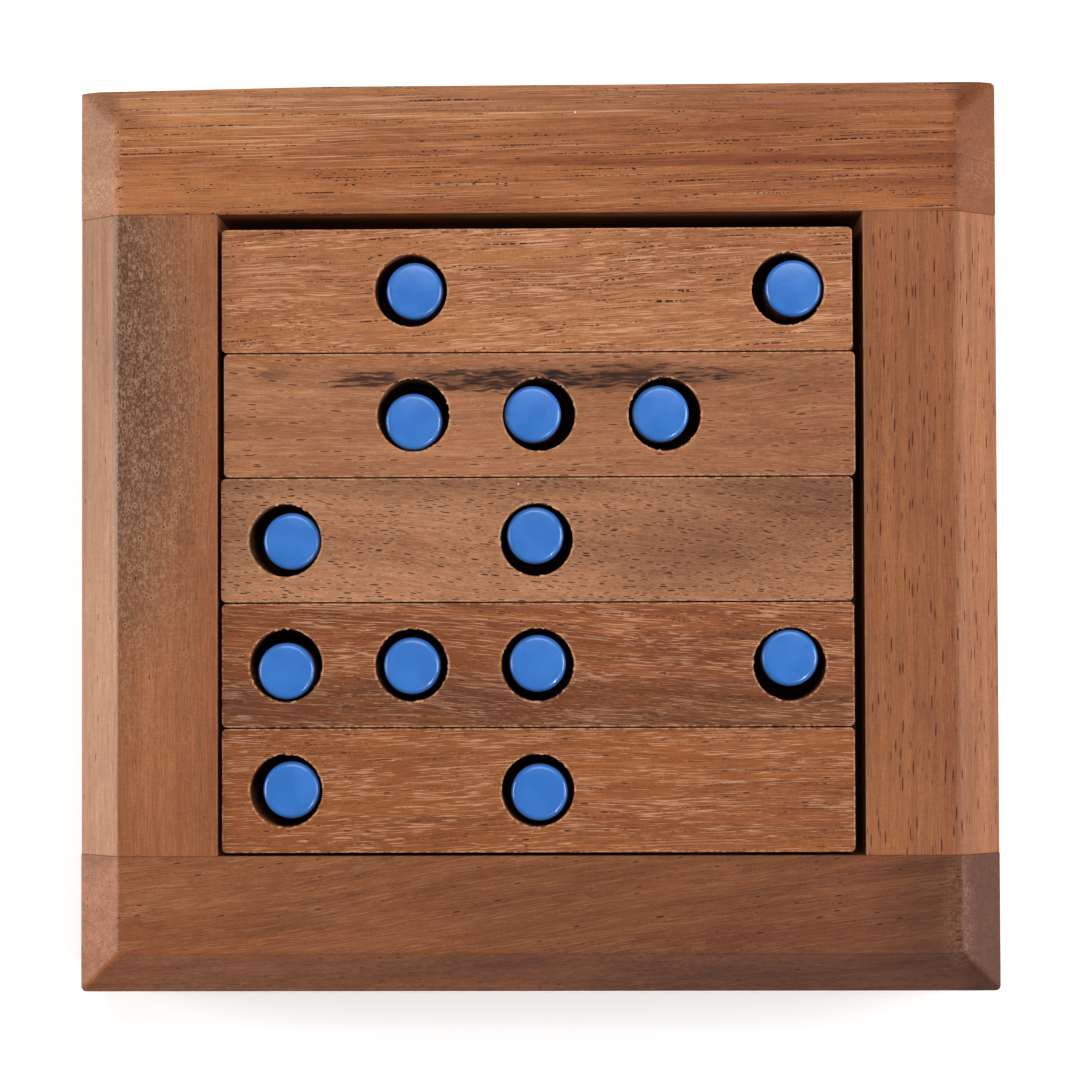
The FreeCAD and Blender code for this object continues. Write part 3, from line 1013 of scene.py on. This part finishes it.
# Every log is a place of its own in the same wood, so no two pieces share their grain.
woods = {
    "back_rail": oiled_wood(
        "back_rail_wood",
        walls=TRAY_WALLS,
        log=(0.0, 0.0, 0.0),
        slope=0.02,
        waver=1.5,
        pale=colour(181, 115, 67),
        deep=colour(146, 85, 45),
        red=colour(138, 72, 38),
        bands=0.35,
        reds=0.5,
        lines=1.2,
        rows=1.0,
        flecks=0.3,
        pores=0.05,
        patches=(
            ((70, 55, 20), (75, 30, 40), (14, 2, 2), 0.3, 1.6, 1.0, (0.76, 0.66, 0.56, 1)),
            ((30, 52.8, 23), (46, 0.85, 4), (25, 0.8, 2), 0.25, 0.6, 1.0, (0.66, 0.52, 0.42, 1)),
            ((30, 53.9, 23), (46, 1.6, 4), (25, 1.0, 2), 0.4, 1.2, 0.6, (0.84, 0.76, 0.7, 1)),
            ((-28, 51.4, 23), (38, 1.6, 4), (25, 0.8, 2), 0.4, 1.2, 0.8, (0.86, 0.76, 0.68, 1)),
            # Pale line along the ridge: worn, with a painted highlight on it.
            ((16, 59.4, 24), (48, 0.6, 2), (14, 1, 1), 0.7, 0.9, 0.9, (1.24, 1.5, 1.8, 1)),
            ((6, 45.7, 24), (50, 0.55, 2), (14, 1, 1), 0.7, 0.9, 0.9, (0.78, 0.64, 0.52, 1)),
            # Paler left half of the outer bevel, partly a painted sheen.
            ((-62, 64, 20), (70, 6.5, 8), (14, 2, 2), 0.3, 1.4, 0.9, (1.12, 1.28, 1.36, 1)),
            ((-5, 49.0, 23), (40, 0.7, 3), (25, 0.8, 2), 0.6, 1.0, 0.8, (1.18, 1.3, 1.4, 1)),
            ((65, 55, 20), (6.5, 30, 40), (3, 3, 3), 0.4, 0.4, 1.0, (0.68, 0.56, 0.3, 1)),
            ((-62, 61.5, 21), (2.6, 2.8, 5), (1.2, 1.2, 1.2), 1.0, 1.2, 0.9, (0.5, 0.45, 0.44, 1)),
            ((-58.5, 59.5, 23), (3.4, 1.6, 3), (1.6, 1, 1), 1.0, 1.4, 0.7, (0.66, 0.58, 0.56, 1)),
            ((62.5, 61, 20), (3.2, 3.4, 5), (1.6, 1.6, 1.6), 1.0, 1.3, 0.9, (0.5, 0.46, 0.46, 1)),
        ),
        end_grain=(
            ((-66, 54, 20), (6.6, 16, 40), 0.35, 0.75, colour(136, 92, 63)),
            ((66, 53, 20), (6.6, 16, 40), 0.35, 0.7, colour(118, 61, 18)),
        ),
        burls=(((-64, 49.5, 20), (5, 2.6, 6), 0.8, 0.8), ((64, 51.5, 20), (4, 3, 6), 0.9, 0.3)),
    ),
    "front_rail": oiled_wood(
        "front_rail_wood",
        walls=TRAY_WALLS,
        log=(300.0, 40.0, 10.0),
        slope=0.14,
        pale=colour(158, 97, 58),
        deep=colour(130, 75, 43),
        lines=0.25,
        rows=0.3,
        flecks=0.35,
        pores=0.25,
        patches=(
            ((66, -58, 20), (110, 40, 60), (14, 2, 2), 0.3, 1.7, 1.0, (0.58, 0.5, 0.42, 1)),
            ((65, -55, 20), (6, 30, 40), (3, 3, 3), 0.4, 0.5, 1.0, (0.82, 0.6, 0.32, 1)),
            ((57, -53, 24), (8, 13, 4), (4, 3, 3), 0.5, 1.5, 0.9, (0.62, 0.6, 0.56, 1)),
            ((45, -62, 20), (28, 4.5, 8), (10, 1, 1), 0.7, 1.4, 0.7, (0.7, 0.68, 0.66, 1)),
            ((0, -64, 19), (300, 6, 8), (10, 1, 1), 0.2, 0.5, 1.0, (0.96, 0.88, 0.72, 1)),
        ),
        end_grain=(((66, -54, 20), (6.5, 16, 40), 0.4, 0.85, colour(76, 34, 10)),),
        burls=(((59.5, -55, 24), (2.4, 9, 2), 1.2, 0.3),),
    ),
    "left_rail": oiled_wood(
        "left_rail_wood",
        turn=-90.0,
        walls=TRAY_WALLS,
        log=(90.0, 160.0, 30.0),
        pale=colour(159, 98, 59),
        deep=colour(137, 81, 47),
        lines=0.1,
        rows=0.0,
        flecks=0.15,
        pores=0.12,
        patches=(
            ((24, 57.5, 24.7), (42, 9.5, 1.3), (12, 5, 5), 0.7, 0.8, 1.0, (0.54, 0.6, 0.7, 1)),
            ((30, 60, 24.7), (28, 5, 1.3), (8, 3, 3), 1.2, 1.5, 0.9, (0.52, 0.54, 0.58, 1)),
            # Paler outer bevel, partly a painted sheen of the left light.
            ((0, 64, 20), (300, 5.1, 12), (30, 5, 5), 0.1, 0.12, 1.0, (1.14, 1.5, 1.9, 1)),
            ((44, 64, 20), (44, 5.1, 12), (14, 3, 3), 0.3, 1.4, 1.0, (0.7, 0.64, 0.6, 1)),
        ),
        burls=(((18, 56, 24.7), (46, 9.5, 1.3), 0.9, 0.8),),
    ),
    "right_rail": oiled_wood(
        "right_rail_wood",
        turn=-90.0,
        walls=TRAY_WALLS,
        log=(520.0, 60.0, 80.0),
        pale=colour(157, 97, 56),
        deep=colour(130, 76, 43),
        lines=0.1,
        rows=0.0,
        flecks=0.1,
        pores=1.0,
        pore_cell=(4.6, 0.5, 0.5),
        pore_girth=0.21,
        pore_colour=colour(90, 38, 20),
        sheaths=0.0,
        patches=(((0, -64, 20), (300, 5, 12), (30, 2, 2), 0.4, 0.5, 1.0, (0.96, 0.97, 0.88, 1)),),
    ),
    "bar_1": oiled_wood(
        "bar_1_wood",
        drilled=bar_holes(1),
        log=(50.0, 300.0, 0.0),
        pale=colour(171, 110, 67),
        deep=colour(145, 86, 49),
        slope=0.06,
        waver=5.0,
        bands=0.35,
        flecks=0.95,
        lines=0.7,
        rows=1.0,
        pores=0.05,
    ),
    "bar_2": oiled_wood(
        "bar_2_wood",
        drilled=bar_holes(2),
        log=(150.0, 380.0, 0.0),
        pale=colour(172, 115, 77),
        deep=colour(142, 89, 55),
        rows=0.0,
        flecks=0.4,
        pores=0.6,
        pore_cell=(3.2, 0.42, 0.42),
        pore_girth=0.22,
        pore_colour=colour(98, 50, 30),
        sheaths=0.3,
        waver=6.0,
        patches=(
            ((2, 22.2, 23), (31, 1.7, 4), (10, 1, 1), 0.9, 1.3, 0.8, (0.48, 0.42, 0.41, 1)),
            ((-37.3, 22.8, 23), (2.0, 0.8, 3), (1, 0.5, 0.5), 1.0, 1.4, 0.7, (0.42, 0.36, 0.34, 1)),
            ((44, 15, 23), (42, 14, 8), (20, 4, 4), 0.3, 1.6, 0.9, (0.84, 0.78, 0.74, 1)),
        ),
        strands=(
            ((-23, 22.1, 23), (7, 1.3, 4), 1.2, 1.0, (0.2, 0.15, 0.14, 1)),
            ((-5, 22.0, 23), (14, 2.0, 4), 1.2, 1.0, (0.16, 0.12, 0.11, 1)),
            ((13, 22.2, 23), (14, 2.1, 4), 1.5, 0.95, (0.25, 0.2, 0.19, 1)),
            ((26, 22.5, 23), (9, 1.5, 4), 1.6, 0.7, (0.45, 0.38, 0.36, 1)),
        ),
    ),
    "bar_3": oiled_wood(
        "bar_3_wood",
        drilled=bar_holes(3),
        log=(250.0, 460.0, 0.0),
        slope=-0.09,
        waver=7.0,
        pale=colour(177, 122, 85),
        deep=colour(147, 96, 63),
        rows=0.2,
        flecks=0.3,
        pores=1.0,
        pore_cell=(2.1, 0.27, 0.27),
        pore_girth=0.26,
        pore_colour=colour(56, 30, 18),
        sheaths=0.4,
        patches=(
            ((22, -2, 23), (16, 4.5, 8), (12, 3, 3), 1.2, 1.6, 0.9, (0.62, 0.6, 0.6, 1)),
            ((44, 0, 23), (30, 12, 8), (12, 4, 4), 0.5, 1.6, 0.8, (0.88, 0.8, 0.75, 1)),
            ((40, 6, 23), (14, 4, 8), (12, 3, 3), 1.2, 1.6, 0.9, (0.6, 0.58, 0.58, 1)),
            ((-12, 8, 23), (40, 2.4, 8), (12, 2, 2), 1.0, 1.6, 0.7, (0.6, 0.6, 0.6, 1)),
            ((-44, 2, 23), (7, 9, 8), (6, 3, 3), 1.0, 1.6, 0.6, (0.62, 0.6, 0.6, 1)),
        ),
    ),
    "bar_4": oiled_wood(
        "bar_4_wood",
        drilled=bar_holes(4),
        log=(350.0, 540.0, 0.0),
        slope=-0.05,
        waver=5.0,
        pale=colour(142, 79, 38),
        deep=colour(113, 58, 26),
        streaks=0.8,
        lines=0.6,
        flecks=0.8,
        pores=0.3,
        patches=(((0, -25, 23), (75, 5.4, 8), (30, 2, 2), 0.5, 0.5, 0.9, (0.72, 0.76, 0.82, 1)),),
    ),
    "bar_5": oiled_wood(
        "bar_5_wood",
        drilled=bar_holes(5),
        log=(450.0, 620.0, 0.0),
        pale=colour(152, 86, 41),
        deep=colour(124, 66, 28),
        slope=0.02,
        waver=4.0,
        flecks=0.8,
        pores=0.2,
    ),
    "base_board": oiled_wood(
        "base_board_wood",
        log=(0.0, 800.0, 0.0),
        pale=colour(153, 94, 57),
        deep=colour(122, 72, 41),
    ),
}

# The outside of the back rail loses a sliver towards its left end.
back_left = Vector((-30 * MM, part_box("back_rail")[1].y, 0))
rails = {
    "back_rail": {
        "ridge": 2.6 * MM,
        "mitre": 3.0 * MM,
        "skew": -0.008,
        "shaved": [(back_left, Vector((-0.02, 1, 0)))],
    },
    "front_rail": {"ridge": 0.9 * MM, "mitre": 1.5 * MM},
    "left_rail": {"ridge": 0.5 * MM, "mitre": 0.5 * MM},
    "right_rail": {"ridge": 2.4 * MM, "mitre": 0.5 * MM},
}
for node, wear in rails.items():
    finish_piece(shape_rail(node, **wear), node, "tray", "rail_wood", woods[node])
finish_piece(shape_board(), "base_board", "tray", "board_wood", woods["base_board"])
for row in range(1, 6):
    node = f"bar_{row}"
    finish_piece(shape_bar(row), node, node, "bar_wood", woods[node])

pin_low, pin_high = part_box(pin_nodes[0])
pin_finish = painted_pin("painted_pin", pin_high.z)
first_pin = shape_pin("first_pin", pin_nodes[0])
for node in pin_nodes:
    low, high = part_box(node)
    pin = copy_of(first_pin, f"{node}_dowel")
    pin.data.transform(Matrix.Translation((low + high) / 2 - (pin_low + pin_high) / 2))
    finish_piece(pin, node, "tray", "pin_paint", pin_finish)
bpy.data.objects.remove(first_pin, do_unlink=True)

# ---- Floor, lights and camera ----


def make_floor():
    """A plain pale floor that the tray stands on."""
    bpy.ops.object.select_all(action="DESELECT")
    bpy.ops.mesh.primitive_plane_add(size=6, location=(0, 0, cad_low.z))
    floor = settle(bpy.context.object, "floor")
    material, tree, shader = new_material("pale_floor")
    shader.inputs["Base Color"].default_value = (0.9, 0.9, 0.9, 1)
    shader.inputs["Roughness"].default_value = 0.8
    shader.inputs["Specular IOR Level"].default_value = 0.1
    shader.inputs["Emission Color"].default_value = (1, 1, 1, 1)
    shader.inputs["Emission Strength"].default_value = 0.4
    floor.data.materials.append(material)


def make_light(name, place, size, power):
    """A square soft light aimed at the tray."""
    lamp = bpy.data.lights.new(name, "AREA")
    lamp.size = size
    lamp.energy = power
    light = bpy.data.objects.new(name, lamp)
    light.location = place
    light.rotation_euler = (-Vector(place)).to_track_quat("-Z", "Y").to_euler()
    bpy.context.collection.objects.link(light)
    return light


def make_camera():
    """Almost straight above, a little towards the front right."""
    lens = bpy.data.cameras.new("camera")
    lens.lens = 108.27
    lens.sensor_width = 36.0
    camera = bpy.data.objects.new("camera", lens)
    camera.location = (8.99 * MM, -13.26 * MM, 480 * MM)
    camera.rotation_euler = Euler([math.radians(angle) for angle in (1.584, 1.089, -0.183)])
    bpy.context.collection.objects.link(camera)
    bpy.context.scene.camera = camera


make_floor()
make_light("left_wall", (-0.9, 0.0, 0.22), 0.5, 9.4)
make_light("right_wall", (0.85, 0.0, 0.40), 0.5, 8.2)
make_light("back_softbox", (0.05, 0.55, 0.85), 0.6, 4.7)
make_light("small_lamp", (0.3, -0.33, 0.6), 0.035, 0.35)
make_light("glint_lamp", (0.3, -0.36, 0.6), 0.05, 1.5).visible_diffuse = False
make_camera()

scene = bpy.context.scene
scene.view_settings.view_transform = "Standard"
world = bpy.data.worlds.new("studio")
world.use_nodes = True
world.node_tree.nodes["Background"].inputs["Color"].default_value = (1, 1, 1, 1)
world.node_tree.nodes["Background"].inputs["Strength"].default_value = 0.1
scene.world = world
